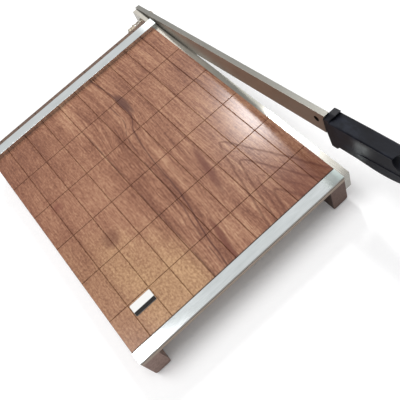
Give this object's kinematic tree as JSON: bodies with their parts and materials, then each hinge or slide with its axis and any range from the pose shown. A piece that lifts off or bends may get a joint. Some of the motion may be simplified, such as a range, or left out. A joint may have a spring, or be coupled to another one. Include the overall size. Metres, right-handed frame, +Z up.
{
  "type": "paper trimmer",
  "caption": "Desktop guillotine paper trimmer: wooden board with scored grid on runners, aluminium fence, steel bed knife and a pivoting knife arm with black handle.",
  "frame": {"origin": "centre of the outer box in plan, on the table under the rubber pads", "axes": "+Z up; +Y from the front edge to the rear edge with the fence and pivot; +X towards the knife side"},
  "size_m": [0.2628, 0.4342, 0.1259],
  "materials": {
    "board_wood": "varnished walnut-coloured veneer with scored dark lines",
    "runner_wood": "stained and satin varnished",
    "strip_aluminium": "satin anodised",
    "knife_steel": "ground and polished",
    "zinc_hardware": "zinc plated",
    "handle_plastic": "black moulded, satin",
    "pad_rubber": "matte",
    "label_blank": "blank printed plate"
  },
  "bodies": {
    "base": {"base_board": "board_wood", "left_runner": "runner_wood", "right_runner": "runner_wood", "foot_pads": "pad_rubber", "front_strip": "strip_aluminium", "paper_fence": "strip_aluminium", "label_plate": "label_blank", "bed_knife": "knife_steel", "bed_screws": "zinc_hardware", "runner_screws": "zinc_hardware", "fence_screws": "zinc_hardware", "strip_screws": "zinc_hardware", "pivot_bolt": "zinc_hardware", "head_washer": "zinc_hardware", "seat_washer": "zinc_hardware", "pivot_spring": "zinc_hardware", "cap_washer": "zinc_hardware", "adjusting_nut": "zinc_hardware", "lock_nut": "zinc_hardware"},
    "arm": {"knife_arm": "knife_steel", "handle_grip": "handle_plastic", "handle_screws": "zinc_hardware"}
  },
  "joints": [
    {"name": "arm_pivot", "type": "hinge", "parent": "base", "child": "arm", "pos_m": [0.11905, 0.19493, 0.0336], "axis": [-1, 0, 0], "range_deg": [-11.6, 75]}
  ]
}
